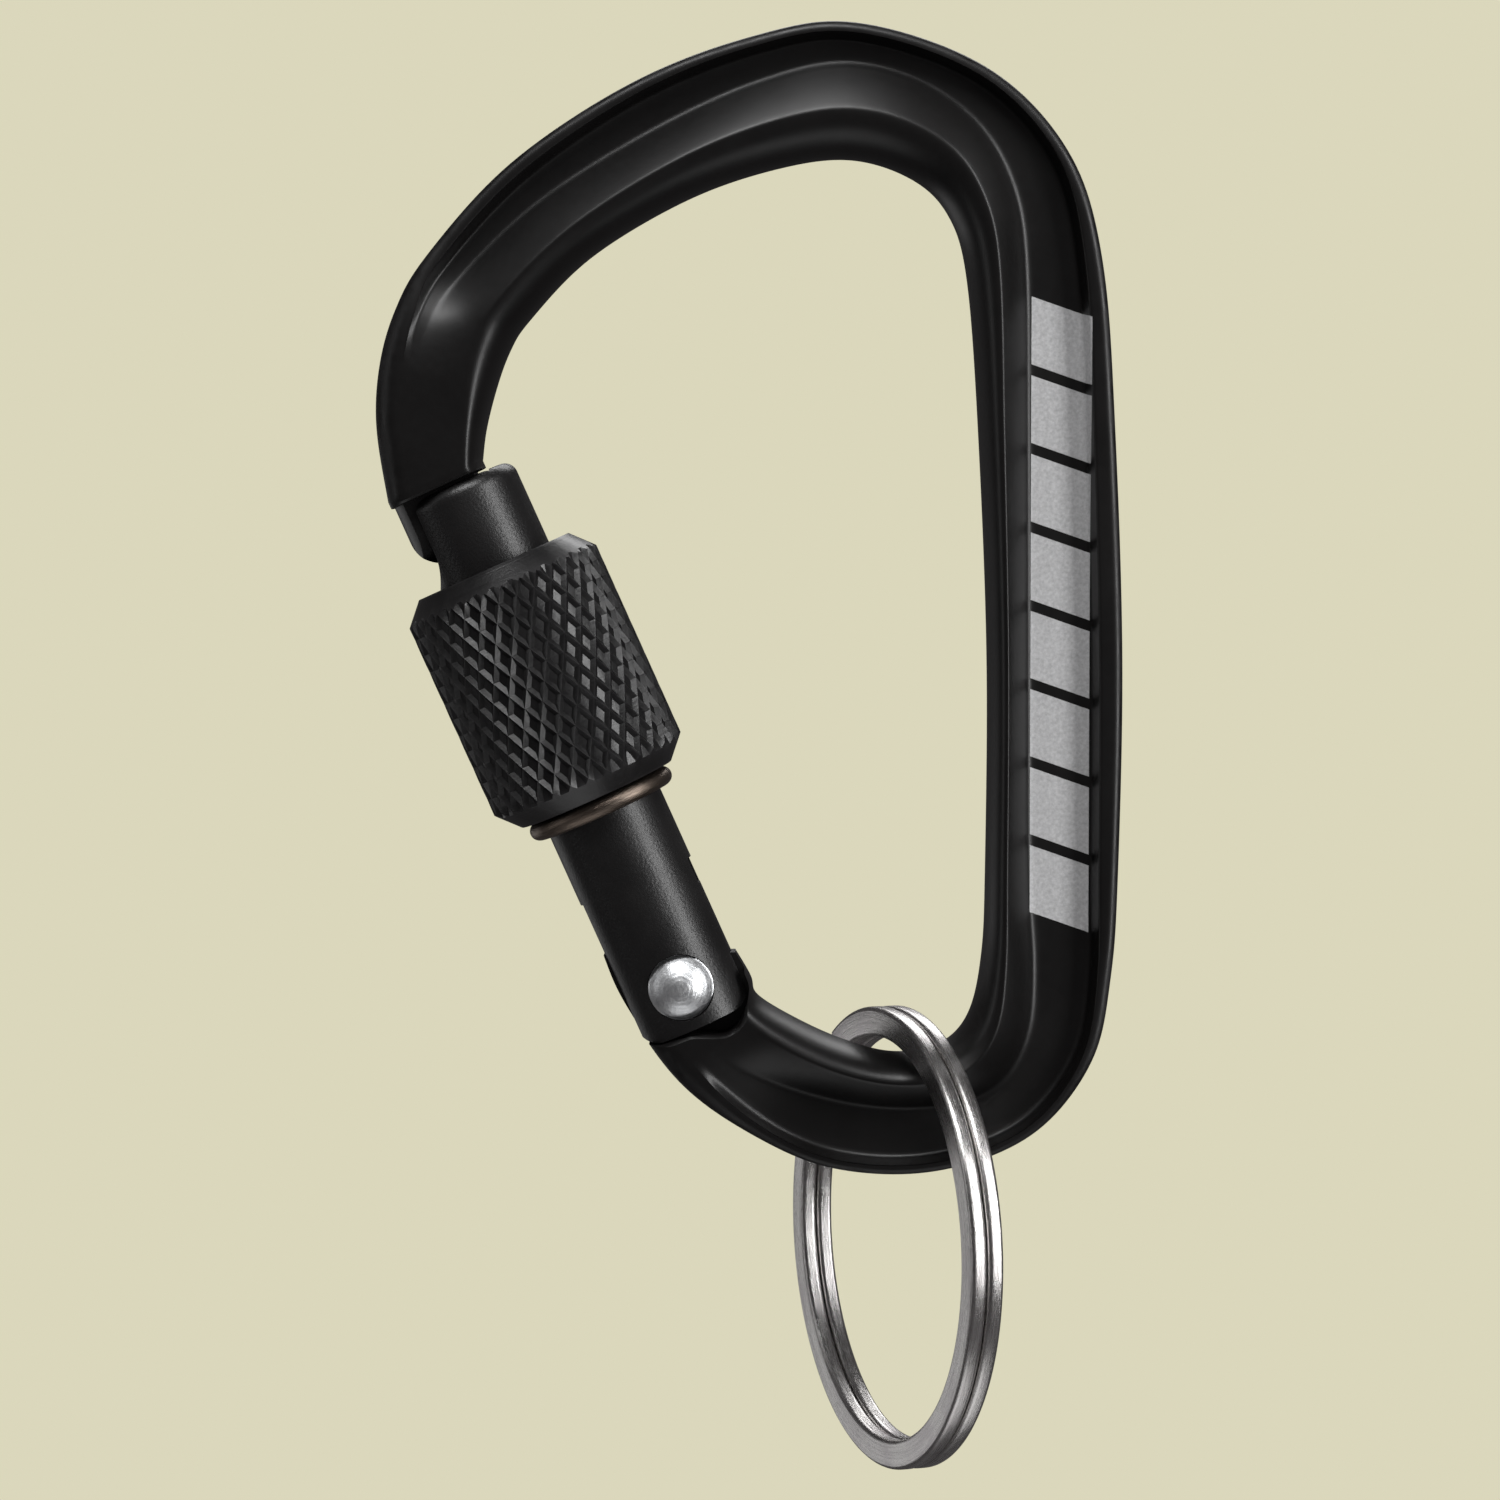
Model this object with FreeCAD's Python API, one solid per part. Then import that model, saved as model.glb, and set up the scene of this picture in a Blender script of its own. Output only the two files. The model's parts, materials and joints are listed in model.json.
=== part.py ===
"""Small screw-gate carabiner for keys, with a split key ring on its lower bar.

Millimetres. The carabiner lies in the XZ plane and hangs from its bow: +Z is up,
+X points from the gate to the spine and Y runs through the thickness. The origin
is the highest point of the inside of the bow, where the carabiner hangs.
"""
import FreeCAD, Part
import math
import os

Vector = FreeCAD.Vector

# ---------------------------------------------------------------- driving sizes
# Frame: one forged bar with a round inner rib, a thin web and a thin outer flange.
inside_height = 47.95       # bow seat to the floor of the lower bar
spine_x = 7.35              # inner face of the spine
rivet_x = -9.08             # hinge rivet, sideways from the bow seat
rivet_rise = 3.83           # hinge rivet above the floor of the lower bar
nose_x = -21.2              # middle of the nose's lower face
nose_z = -17.15
rib_thickness = 6.4
web_thickness = 2.6
flange_thickness = 5.0
edge_round = 0.45           # rounding of the flange's outer edge
end_round = 1.2             # the same at the solid nose and hinge ends
end_flange = 1.7            # width that carries this rounding
flange_wall_run = 0.35      # the pocket's outer wall leans back by this much

# Gate: a round bar, slotted at both ends.
gate_radius = 3.25
nose_gap = 0.15             # gate's top face below the frame's nose
gate_tail = 2.35            # rivet to the gate's lower end
gate_tail_round = 1.2
gate_top_round = 0.7
hinge_slot_width = 2.05
hinge_slot_end = 6.02       # top of the hinge slot, above the rivet
nose_slot_width = 4.2
nose_slot_depth = 5.25      # from the gate's outer side inwards
nose_slot_length = 5.15     # gate's top face to the bottom of the round-ended slot
cut_overlap = 0.5           # how far one tool reaches into the next
tail_skin = 0.01            # keeps the tail's rounding tool off the bar's own surface

# Tongues of the frame, which stand in the gate's two slots.
tongue_clearance = 0.08     # each side, hinge
hinge_tongue_top_left = 3.08
hinge_tongue_top_right = 0.34
ear_clearance = 0.1         # round the swept tail of the gate
gate_opening = 26.0         # degrees, with room for a little more
ear_sweep_steps = 8         # turned copies of the tail that make its swept shape
nose_tongue_clearance = 0.1
nose_tongue_length = 3.9
nose_tongue_back = 0.8      # stands off the slot's back wall
nose_tongue_proud = 0.3     # beyond the gate's round surface
nose_tip_round = 2.0
nose_tongue_root = 1.0      # sunk into the nose
nose_shoulder = 0.06        # the nose stands out round the root of its tongue

# Hinge rivet.
rivet_radius = 1.0
rivet_running_clearance = 0.06
rivet_head_radius = 1.75
rivet_head_height = 0.95
rivet_seat_depth = 0.45     # spot face in the side of the gate
rivet_seat_clearance = 0.05

# Locking sleeve, its thread and the stop ring below it.
sleeve_radius = 5.5
sleeve_length = 13.43
sleeve_face_radius = 4.45
sleeve_chamfer_length = 1.2
sleeve_drop = 4.85          # gate's top face to the sleeve's top, unlocked
sleeve_bore_clearance = 0.1
sleeve_travel = 4.3
thread_lead = 1.5
thread_height = 0.25
thread_turns_sleeve = 3
thread_start = 1.0          # first ridge above the sleeve's lower face
thread_sunk = 0.15          # root of each ridge in its own wall
gate_ridge_root = 0.62      # half widths of the ridges
gate_ridge_crest = 0.15
sleeve_ridge_root = 0.5
sleeve_ridge_crest = 0.12
thread_radial_clearance = 0.08
stop_wire_radius = 0.5
stop_groove_depth = 0.1     # middle of the wire, outside the gate's surface, is less by this
stop_groove_clearance = 0.07
stop_ring_gap_angle = 24.0
stop_ring_rest_gap = 0.05   # sleeve's lower face above the wire

# Spring and plunger that close the gate.
spring_bore_radius = 1.45
spring_bore_length = 8.2
spring_wire_radius = 0.16
spring_side_room = 0.14
spring_end_room = 0.05
spring_turns = 7
plunger_clearance = 0.1
plunger_blade_width = 1.05
plunger_travel_room = 1.45
plunger_arm_height = 1.5
plunger_neck_radius = 0.85
plunger_head_height = 0.8
plunger_head_gap = 0.3      # head above the hinge slot's end
plunger_rest_gap = 0.06     # above the hinge tongue

# Split key ring: one flat wire, wound twice.
ring_outer_radius = 12.5
ring_wire_width = 1.6       # radial
ring_wire_height = 0.88     # axial, one coil
ring_coil_gap = 0.08
ring_free_gap = 0.85        # ring's inside above the lower bar
ring_turn = 68.5            # the ring's face turned from facing the front
ring_x = 2.4
ring_end_angle = 18.5       # the ends, each side of the crossover
ring_crossover_half = 17.5
ring_crossover_place = 51.0 # crossover, round from the top towards the back
ring_section_angle = 7.5    # between the sections that the wire is drawn through

# ------------------------------------------------------------- derived places
floor_z = -inside_height
rivet_z = floor_z + rivet_rise
gate_reach = math.hypot(nose_x - rivet_x, nose_z - rivet_z)
gate_tilt = math.degrees(math.atan2(rivet_x - nose_x, nose_z - rivet_z))
gate_top = gate_reach - nose_gap
gate_placement = FreeCAD.Placement(
    Vector(rivet_x, 0, rivet_z), FreeCAD.Rotation(Vector(0, 1, 0), -gate_tilt))
sleeve_top = gate_top - sleeve_drop
sleeve_bottom = sleeve_top - sleeve_length
stop_ring_level = sleeve_bottom - stop_ring_rest_gap - stop_wire_radius
stop_ring_radius = gate_radius + stop_wire_radius - stop_groove_depth
thread_turns_gate = thread_turns_sleeve + math.ceil(sleeve_travel / thread_lead)
thread_crest = gate_radius + thread_height
nose_lobe_radius = gate_radius + nose_tongue_proud
sleeve_bore_radius = max(thread_crest, nose_lobe_radius) + sleeve_bore_clearance
nose_slot_back = nose_slot_depth - gate_radius
hinge_tongue_thickness = hinge_slot_width - 2 * tongue_clearance
nose_tongue_thickness = nose_slot_width - 2 * nose_tongue_clearance
rivet_seat = gate_radius - rivet_seat_depth
plunger_head_bottom = hinge_slot_end + plunger_head_gap
spring_bore_top = hinge_slot_end + spring_bore_length
spring_coil_radius = spring_bore_radius - spring_wire_radius - spring_side_room
far = 40.0                  # past every face of the object, for cutting tools


def gate_point(along, across):
    """A place in the frame's plane, given along and across the gate's axis."""
    spot = gate_placement.multVec(Vector(across, 0, along))
    return spot.x, spot.z


def placed(shape):
    """A shape modelled about the gate's axis, moved to where the gate is."""
    moved = shape.copy()
    moved.Placement = gate_placement.multiply(moved.Placement)
    return moved


def box(x0, x1, y0, y1, z0, z1):
    return Part.makeBox(x1 - x0, y1 - y0, z1 - z0, Vector(x0, y0, z0))


def rod(radius, start, end, direction=Vector(0, 0, 1)):
    """A round bar from start to end, measured along its direction."""
    return Part.makeCylinder(radius, end - start, direction * start, direction)


# ------------------------------------------------------------------- the frame
def frame_stations():
    """The bar's sections from the nose round to the hinge.

    Each is the inner point, the outer point, and across the bar the place of the
    rib's crest, the foot of the rib and the width of the flange, and last how
    much of the full pocket is sunk there.
    """
    foot = floor_z
    nose_end_in = gate_point(gate_reach, nose_slot_back - 0.2)
    nose_end_out = gate_point(gate_reach, -nose_lobe_radius - nose_shoulder)
    hinge_in = gate_point(-1.3, gate_radius + 0.15)
    hinge_out = gate_point(0.3, -gate_radius + 0.03)
    tongue_in = gate_point(hinge_tongue_top_right, gate_radius + 0.05)
    tongue_out = gate_point(hinge_tongue_top_left, -gate_radius + 0.05)
    return [
        (nose_end_in, nose_end_out, 0.9, 2.6, end_flange, 0.0),
        ((nose_x + 1.7, nose_z + 2.85), (nose_x - 4.08, nose_z + 2.85), 1.0, 3.4, end_flange, 0.0),
        ((nose_x + 2.3, nose_z + 5.15), (nose_x - 3.9, nose_z + 6.15), 1.4, 4.3, end_flange, 0.0),
        ((nose_x + 3.0, nose_z + 7.0), (nose_x - 3.05, nose_z + 9.1), 1.7, 4.4, 1.3, 0.35),
        ((-17.2, -8.6), (-22.6, -5.2), 1.9, 4.3, 1.1, 0.9),
        ((-13.9, -5.2), (-18.1, -0.27), 1.8, 4.0, 1.1, 1.0),
        ((-8.7, -2.12), (-11.6, 4.0), 2.0, 4.1, 1.0, 1.0),
        ((-3.9, -0.48), (-5.3, 6.4), 2.35, 4.7, 0.9, 1.0),
        ((0.0, 0.0), (0.2, 7.17), 2.55, 5.1, 0.9, 1.0),
        ((3.3, -1.05), (7.1, 4.85), 2.45, 4.6, 0.9, 1.0),
        ((spine_x - 2.1, -3.0), (spine_x + 4.15, 0.4), 2.0, 3.8, 1.0, 1.0),
        ((spine_x - 1.12, -6.4), (spine_x + 6.0, -5.4), 1.65, 3.15, 1.3, 1.0),
        ((spine_x - 0.5, -14.5), (spine_x + 6.7, -14.3), 1.25, 2.6, 1.5, 1.0),
        ((spine_x, foot + 21.4), (spine_x + 7.15, foot + 21.2), 1.02, 2.15, 1.6, 1.0),
        ((spine_x - 0.06, foot + 9.9), (spine_x + 6.95, foot + 9.6), 1.05, 2.3, 1.4, 1.0),
        ((spine_x - 0.25, foot + 5.3), (spine_x + 6.6, foot + 4.3), 1.2, 2.8, 1.1, 1.0),
        ((spine_x - 0.95, foot + 2.1), (spine_x + 5.6, foot - 0.3), 1.5, 3.35, 0.95, 1.0),
        ((spine_x - 2.5, foot + 0.45), (spine_x + 2.4, foot - 4.25), 1.7, 3.6, 0.85, 1.0),
        ((2.3, foot), (4.6, foot - 6.2), 1.5, 3.05, 0.85, 1.0),
        ((-0.4, foot + 0.7), (-0.9, foot - 6.05), 1.5, 3.2, 0.85, 1.0),
        ((-2.9, foot + 1.83), (-5.3, foot - 4.2), 1.4, 3.5, 1.0, 0.75),
        ((rivet_x + 4.1, foot + 3.1), (rivet_x - 0.1, foot - 1.4), 1.1, 3.6, end_flange, 0.0),
        (hinge_in, hinge_out, 0.8, 3.4, end_flange, 0.0),
        (tongue_in, tongue_out, 0.8, 3.4, end_flange, 0.0),
    ]


def smooth_stations(stations, steps):
    """More sections between the given ones, on a smooth curve through them all."""
    rows = [tuple(s[0]) + tuple(s[1]) + tuple(s[2:]) for s in stations]
    fine = []
    for i in range(len(rows) - 1):
        before = rows[max(i - 1, 0)]
        after = rows[min(i + 2, len(rows) - 1)]
        for k in range(steps):
            t = k / steps
            fine.append(tuple(hermite(*four, t) for four in
                              zip(before, rows[i], rows[i + 1], after)))
    fine.append(rows[-1])
    return fine


def hermite(p0, p1, p2, p3, t):
    """A value part of the way from p1 to p2, with p0 and p3 giving the slopes there."""
    m1 = (p2 - p0) / 2
    m2 = (p3 - p1) / 2
    return ((2 * t ** 3 - 3 * t ** 2 + 1) * p1 + (t ** 3 - 2 * t ** 2 + t) * m1
            + (3 * t ** 2 - 2 * t ** 3) * p2 + (t ** 3 - t ** 2) * m2)


def curve(points):
    """One edge through the points, spaced alike so that neighbouring sections match."""
    steps = len(points) - 1
    spline = Part.BSplineCurve()
    spline.interpolate(Points=points, Parameters=[i / steps for i in range(steps + 1)])
    return spline.toShape()


def frame_section(row):
    """One closed section of the bar: rib, slope, web and flange, both sides alike."""
    in_x, in_z, out_x, out_z, crest, foot, flange, sunk = row
    width = math.hypot(out_x - in_x, out_z - in_z)
    across = Vector((out_x - in_x) / width, 0, (out_z - in_z) / width)
    start = Vector(in_x, 0, in_z)
    sunk = max(0.0, min(1.0, sunk))
    rib = rib_thickness / 2
    web = rib - sunk * (rib_thickness - web_thickness) / 2
    rim = rib - sunk * (rib_thickness - flange_thickness) / 2
    edge = edge_round + (1 - sunk) * (end_round - edge_round)

    def at(u, y):
        return start + across * u + Vector(0, y, 0)

    def inner_round(side):
        steps = (90, 68, 45, 22)
        return [at(crest * (1 - math.sin(math.radians(d))),
                   side * rib * math.cos(math.radians(d))) for d in steps]

    def slope(side):
        # a little fuller than a straight ramp from the rib down to the web
        return [at(crest, side * rib), at((crest + foot) / 2, side * (rib * 0.55 + web * 0.45)),
                at(foot, side * web)]

    def rim_corner(side):
        # bevelled in two steps, the middle point near the sharp corner
        return [at(width - edge, side * rim),
                at(width - edge * 0.3, side * (rim - edge * 0.3)),
                at(width, side * (rim - edge))]

    lip = width - flange
    low_round = inner_round(-1)[:0:-1]
    rib_points = [at(crest, -rib)] + low_round + inner_round(1) + [at(crest, rib)]
    edges = [curve(rib_points), curve(slope(1))]
    edges.append(Part.makeLine(at(foot, web), at(lip, web)))
    edges.append(Part.makeLine(at(lip, web), at(lip + flange_wall_run, rim)))
    edges.append(Part.makeLine(at(lip + flange_wall_run, rim), at(width - edge, rim)))
    edges.append(curve(rim_corner(1)))
    edges.append(Part.makeLine(at(width, rim - edge), at(width, -rim + edge)))
    edges.append(curve(rim_corner(-1)[::-1]))
    edges.append(Part.makeLine(at(width - edge, -rim), at(lip + flange_wall_run, -rim)))
    edges.append(Part.makeLine(at(lip + flange_wall_run, -rim), at(lip, -web)))
    edges.append(Part.makeLine(at(lip, -web), at(foot, -web)))
    edges.append(curve(slope(-1)[::-1]))
    return Part.Wire(edges)


def nose_tongue():
    """The nose's tongue, which the gate's upper slot closes over."""
    root = gate_reach + nose_tongue_root
    tip = gate_reach - nose_tongue_length
    left = -nose_lobe_radius
    right = nose_slot_back - nose_tongue_back
    half = nose_tongue_thickness / 2
    side = box(left, right, -half, half, tip, root)
    corners = [e for e in side.Edges
               if abs(e.CenterOfMass.z - tip) < 1e-6 and abs(e.CenterOfMass.y) < 1e-6]
    side = side.makeFillet(nose_tip_round, corners)
    end = rod(half, left, right, Vector(1, 0, 0))
    end.translate(Vector(0, 0, tip + half))
    round_end = end.fuse(box(left, right, -half, half, tip + half, root))
    return side.common(round_end).common(rod(nose_lobe_radius, tip, root))


def tail_outline(grown):
    """The gate's tail in the plane in which it swings, grown on every side."""
    side = gate_radius + grown
    low = -gate_tail - grown
    corner = gate_tail_round + grown
    bend = corner * math.sqrt(0.5)
    left = Vector(-side, 0, low + corner)
    left_low = Vector(-side + corner, 0, low)
    right_low = Vector(side - corner, 0, low)
    right = Vector(side, 0, low + corner)
    top = 3 * gate_radius
    left_mid = Vector(-side + corner - bend, 0, low + corner - bend)
    right_mid = Vector(side - corner + bend, 0, low + corner - bend)
    edges = [Part.Arc(left, left_mid, left_low).toShape(), Part.makeLine(left_low, right_low),
             Part.Arc(right_low, right_mid, right).toShape(),
             Part.makeLine(right, Vector(side, 0, top)),
             Part.makeLine(Vector(side, 0, top), Vector(-side, 0, top)),
             Part.makeLine(Vector(-side, 0, top), left)]
    return Part.Face(Part.Wire(edges))


def ear_room(near, past):
    """What an ear of the gate sweeps as it opens, with its clearance, from near to past."""
    room = None
    for i in range(ear_sweep_steps + 1):
        tail = tail_outline(ear_clearance)
        tail.rotate(Vector(0, 0, 0), Vector(0, 1, 0), gate_opening * i / ear_sweep_steps)
        tail.translate(Vector(0, near, 0))
        copy = tail.extrude(Vector(0, past - near, 0))
        room = copy if room is None else room.fuse(copy)
    return room.removeSplitter()


def make_frame():
    """The forged bar, its nose tongue, and its lower end thinned into the hinge tongue."""
    sections = [frame_section(row) for row in smooth_stations(frame_stations(), 2)]
    bar = Part.makeLoft(sections, True, False)
    bar = bar.fuse(placed(nose_tongue()))
    half = hinge_tongue_thickness / 2
    for side in (1, -1):
        near, past = sorted((side * half, side * far))
        bar = bar.cut(placed(ear_room(near, past)))
    hole = rod(rivet_radius + rivet_running_clearance, -far, far, Vector(0, 1, 0))
    return bar.cut(placed(hole))


# -------------------------------------------------------------------- the gate
def ridge(radius_root, radius_crest, root_half, crest_half, start, turns):
    """A screw thread's ridge, one helix with a flat crest."""
    helix = Part.makeHelix(thread_lead, turns * thread_lead, (radius_root + radius_crest) / 2)
    profile = Part.makePolygon([
        Vector(radius_root, 0, -root_half), Vector(radius_crest, 0, -crest_half),
        Vector(radius_crest, 0, crest_half), Vector(radius_root, 0, root_half),
        Vector(radius_root, 0, -root_half)])
    thread = Part.Wire(helix).makePipeShell([profile], True, True)
    thread.translate(Vector(0, 0, start))
    return thread


def make_gate():
    """A round bar with a slot at each end, a screw ridge, a groove and a blind bore."""
    bar = rod(gate_radius, -gate_tail, gate_top)
    rim = [e for e in bar.Edges if abs(e.CenterOfMass.z - gate_top) < 1e-6 and len(e.Vertexes) == 1]
    bar = bar.makeFillet(gate_top_round, rim)
    # tail rounded in the plane in which the gate swings
    wide = gate_radius + tail_skin
    tail = box(-wide, wide, -far, far, -gate_tail, far)
    corners = [e for e in tail.Edges
               if abs(e.CenterOfMass.z + gate_tail) < 1e-6 and abs(e.CenterOfMass.y) < 1e-6]
    bar = bar.common(tail.makeFillet(gate_tail_round, corners))
    thread = ridge(gate_radius - thread_sunk, thread_crest, gate_ridge_root, gate_ridge_crest,
                   sleeve_bottom + thread_start, thread_turns_gate)
    bar = bar.fuse(thread)
    slot = hinge_slot_width / 2
    bar = bar.cut(box(-far, far, -slot, slot, -far, hinge_slot_end))
    half = nose_slot_width / 2
    slot_bottom = gate_top - nose_slot_length
    slot_end = rod(half, -far, nose_slot_back, Vector(1, 0, 0))
    slot_end.translate(Vector(0, 0, slot_bottom + half))
    bar = bar.cut(slot_end)
    bar = bar.cut(box(-far, nose_slot_back, -half, half, slot_bottom + half, far))
    bar = bar.cut(rod(spring_bore_radius, hinge_slot_end - cut_overlap, spring_bore_top))
    bar = bar.cut(Part.makeTorus(stop_ring_radius, stop_wire_radius + stop_groove_clearance,
                                 Vector(0, 0, stop_ring_level), Vector(0, 0, 1)))
    for side in (1, -1):
        bar = bar.cut(rod(rivet_head_radius + rivet_seat_clearance, rivet_seat, far,
                          Vector(0, side, 0)))
    return placed(bar.cut(rod(rivet_radius, -far, far, Vector(0, 1, 0))))


def make_rivet():
    """A pin with a domed head at each end, seated in the gate's two ears."""
    rivet = rod(rivet_radius, -rivet_seat, rivet_seat, Vector(0, 1, 0))
    dome_radius = (rivet_head_radius ** 2 + rivet_head_height ** 2) / (2 * rivet_head_height)
    for side in (1, -1):
        centre = Vector(0, side * (rivet_seat + rivet_head_height - dome_radius), 0)
        dome = Part.makeSphere(dome_radius, centre)
        head = dome.common(rod(rivet_head_radius, rivet_seat, rivet_seat + rivet_head_height,
                               Vector(0, side, 0)))
        rivet = rivet.fuse(head)
    return placed(rivet.removeSplitter())


# --------------------------------------------------------- spring and plunger
def make_plunger():
    """A blade on the hinge tongue, with an arm, a flat neck and a round head in the bore."""
    thickness = hinge_slot_width - 2 * plunger_clearance
    half = thickness / 2
    outer = gate_radius - plunger_clearance
    inner = outer - plunger_blade_width
    top = hinge_slot_end - plunger_travel_room
    slant = (hinge_tongue_top_right - hinge_tongue_top_left) / (2 * gate_radius)
    middle = (hinge_tongue_top_right + hinge_tongue_top_left) / 2
    corners = [(inner, middle + slant * inner + plunger_rest_gap),
               (outer, middle + slant * outer + plunger_rest_gap),
               (outer, top), (-plunger_neck_radius, top),
               (-plunger_neck_radius, top - plunger_arm_height),
               (inner, top - plunger_arm_height)]
    outline = [Vector(x, -half, z) for x, z in corners]
    blade = Part.Face(Part.makePolygon(outline + outline[:1])).extrude(Vector(0, thickness, 0))
    blade = blade.common(rod(outer, -far, far))
    head_top = plunger_head_bottom + plunger_head_height
    neck = rod(plunger_neck_radius, top - plunger_arm_height / 2,
               plunger_head_bottom + plunger_head_height / 2)
    neck = neck.common(box(-far, far, -half, half, -far, far))
    head = rod(spring_bore_radius - plunger_clearance, plunger_head_bottom, head_top)
    return placed(blade.fuse(neck).fuse(head).removeSplitter())


def make_spring():
    """A coil between the plunger's head and the blind end of the gate's bore."""
    bottom = plunger_head_bottom + plunger_head_height + spring_end_room + spring_wire_radius
    top = spring_bore_top - spring_end_room - spring_wire_radius
    rise = top - bottom
    helix = Part.makeHelix(rise / spring_turns, rise, spring_coil_radius)
    wire = Part.Wire(Part.makeCircle(spring_wire_radius, Vector(spring_coil_radius, 0, 0),
                                     Vector(0, 1, 0)))
    coil = Part.Wire(helix).makePipeShell([wire], True, True)
    coil.translate(Vector(0, 0, bottom))
    return placed(coil)


# ------------------------------------------------------------ locking sleeve
def make_sleeve():
    """A ring with chamfered ends and an inner screw ridge; it has no hole but its bore."""
    knurl_low = sleeve_bottom + sleeve_chamfer_length
    knurl_high = sleeve_top - sleeve_chamfer_length
    profile = [(0, sleeve_bottom), (sleeve_face_radius, sleeve_bottom),
               (sleeve_radius, knurl_low), (sleeve_radius, knurl_high),
               (sleeve_face_radius, sleeve_top), (0, sleeve_top)]
    outline = [Vector(r, 0, z) for r, z in profile]
    body = Part.Face(Part.makePolygon(outline + outline[:1]))
    body = body.revolve(Vector(0, 0, 0), Vector(0, 0, 1), 360)
    body = body.cut(rod(sleeve_bore_radius, -far, far))
    crest = gate_radius + thread_radial_clearance
    # half a lead off the gate's ridge, so that the ridges lie between each other
    thread = ridge(sleeve_bore_radius + thread_sunk, crest, sleeve_ridge_root,
                   sleeve_ridge_crest, sleeve_bottom + thread_start + thread_lead / 2,
                   thread_turns_sleeve)
    return placed(body.fuse(thread))


def make_stop_ring():
    """A round snap wire, open by a small gap at the back of the gate."""
    sweep = 360 - stop_ring_gap_angle
    ring = Part.makeTorus(stop_ring_radius, stop_wire_radius, Vector(0, 0, 0), Vector(0, 0, 1),
                          0, 360, sweep)
    ring.rotate(Vector(0, 0, 0), Vector(0, 0, 1), 90 + stop_ring_gap_angle / 2)
    ring.translate(Vector(0, 0, stop_ring_level))
    return placed(ring)


# ----------------------------------------------------------------- key ring
def ring_offset(angle):
    """Axial place of the wire's middle along its two turns, which swap sides once."""
    shift = (ring_wire_height + ring_coil_gap) / 2
    t = (angle - (360 - ring_crossover_half)) / (2 * ring_crossover_half)
    t = max(0.0, min(1.0, t))
    return shift * (2 * (3 * t * t - 2 * t ** 3) - 1)


def make_key_ring():
    """A flat wire wound twice, turned about the upright line through the ring's middle."""
    sweep = 720 - 2 * ring_end_angle
    count = round(sweep / ring_section_angle)
    inner = ring_outer_radius - ring_wire_width
    half = ring_wire_height / 2
    sections = []
    for i in range(count + 1):
        angle = ring_end_angle + sweep * i / count
        turn = math.radians(angle)
        outwards = Vector(math.sin(turn), 0, math.cos(turn))
        side = Vector(0, ring_offset(angle), 0)
        corners = [outwards * inner + side + Vector(0, -half, 0),
                   outwards * ring_outer_radius + side + Vector(0, -half, 0),
                   outwards * ring_outer_radius + side + Vector(0, half, 0),
                   outwards * inner + side + Vector(0, half, 0)]
        sections.append(Part.makePolygon(corners + corners[:1]))
    wire = Part.makeLoft(sections, True, False)
    wire.rotate(Vector(0, 0, 0), Vector(0, 1, 0), -ring_crossover_place)
    centre_z = floor_z + ring_free_gap - inner
    wire.rotate(Vector(0, 0, 0), Vector(0, 0, 1), -ring_turn)
    wire.translate(Vector(ring_x, 0, centre_z))
    return wire


PIECES = {
    "frame": make_frame,
    "gate": make_gate,
    "gate_rivet": make_rivet,
    "gate_plunger": make_plunger,
    "gate_spring": make_spring,
    "locking_sleeve": make_sleeve,
    "stop_ring": make_stop_ring,
    "key_ring": make_key_ring,
}

os.makedirs("parts", exist_ok=True)
for name, make in PIECES.items():
    shape = make()
    solids = shape.Solids
    print(name, "valid", shape.isValid(), "solids", len(solids),
          "volume", round(shape.Volume, 2), "box", shape.BoundBox)
    shape.exportStep("parts/" + name + ".step")
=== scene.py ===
import json
import math

import bmesh
import bpy
from mathutils import Matrix, Vector


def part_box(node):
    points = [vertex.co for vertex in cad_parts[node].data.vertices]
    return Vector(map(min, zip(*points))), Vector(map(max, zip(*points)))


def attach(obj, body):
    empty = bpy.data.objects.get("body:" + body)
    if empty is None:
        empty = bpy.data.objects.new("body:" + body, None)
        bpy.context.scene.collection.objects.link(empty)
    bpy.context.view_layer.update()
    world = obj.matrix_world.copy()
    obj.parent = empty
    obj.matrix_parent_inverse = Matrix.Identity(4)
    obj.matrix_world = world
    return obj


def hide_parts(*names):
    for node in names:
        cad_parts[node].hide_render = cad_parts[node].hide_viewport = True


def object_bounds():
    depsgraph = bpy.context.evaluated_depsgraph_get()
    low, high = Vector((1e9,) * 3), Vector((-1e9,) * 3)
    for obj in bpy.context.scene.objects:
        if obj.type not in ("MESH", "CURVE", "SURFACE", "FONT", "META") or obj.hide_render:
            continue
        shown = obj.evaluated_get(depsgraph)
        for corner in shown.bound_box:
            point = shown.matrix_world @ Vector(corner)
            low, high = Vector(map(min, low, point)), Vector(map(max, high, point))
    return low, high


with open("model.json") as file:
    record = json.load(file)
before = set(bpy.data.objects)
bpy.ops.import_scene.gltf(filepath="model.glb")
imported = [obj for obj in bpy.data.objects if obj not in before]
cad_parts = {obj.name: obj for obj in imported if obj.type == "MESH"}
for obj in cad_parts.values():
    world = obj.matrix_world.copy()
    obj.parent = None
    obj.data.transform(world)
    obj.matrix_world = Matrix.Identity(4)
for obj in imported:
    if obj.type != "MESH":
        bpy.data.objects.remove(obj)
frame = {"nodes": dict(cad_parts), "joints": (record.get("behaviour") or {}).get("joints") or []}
cad_low, cad_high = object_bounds()

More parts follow.
